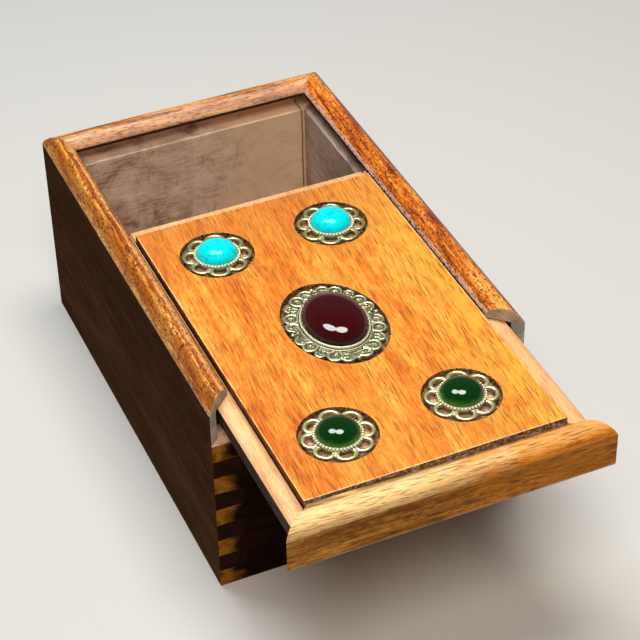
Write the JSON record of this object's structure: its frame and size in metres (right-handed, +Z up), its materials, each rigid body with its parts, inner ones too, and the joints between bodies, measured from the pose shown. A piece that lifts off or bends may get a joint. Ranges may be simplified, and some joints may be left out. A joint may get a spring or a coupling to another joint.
{
  "type": "jewelry box",
  "caption": "Rectangular wooden box with a moulded rim and a sliding lid inlaid with domed stones in metal settings; the lid draws out to the front in grooves.",
  "frame": {"origin": "middle of the case's flat underside", "axes": "+Z up, the front towards -Y, the lid slides along Y, +X to the right seen from the front"},
  "size_m": [0.13, 0.2688, 0.0961],
  "materials": {
    "case_wood": "satin, dark red-brown",
    "rim_wood": "satin, red-brown, worn paler on the crest",
    "lid_wood": "satin, orange-brown",
    "panel_wood": "unfinished",
    "antique_brass": "antiqued, dark in the hollows",
    "turquoise": "polished, opaque, with darker veins",
    "green_stone": "polished, deep green",
    "red_stone": "polished, very dark red"
  },
  "bodies": {
    "case": {"left_side": "case_wood", "right_side": "rim_wood", "back_board": "rim_wood", "front_board": "case_wood", "bottom_panel": "panel_wood"},
    "lid": {"lid_panel": "lid_wood", "lid_front_rail": "rim_wood", "setting_back_left": "antique_brass", "bezel_back_left": "antique_brass", "stone_back_left": "turquoise", "setting_back_right": "antique_brass", "bezel_back_right": "antique_brass", "stone_back_right": "turquoise", "setting_front_left": "antique_brass", "bezel_front_left": "antique_brass", "stone_front_left": "green_stone", "setting_front_right": "antique_brass", "bezel_front_right": "antique_brass", "stone_front_right": "green_stone", "setting_centre": "antique_brass", "bezel_centre": "antique_brass", "stone_centre": "red_stone"}
  },
  "joints": [
    {"name": "lid_slide", "type": "slide", "parent": "case", "child": "lid", "axis": [0, -1, 0], "range_m": [-0.0704, 0.1]}
  ]
}
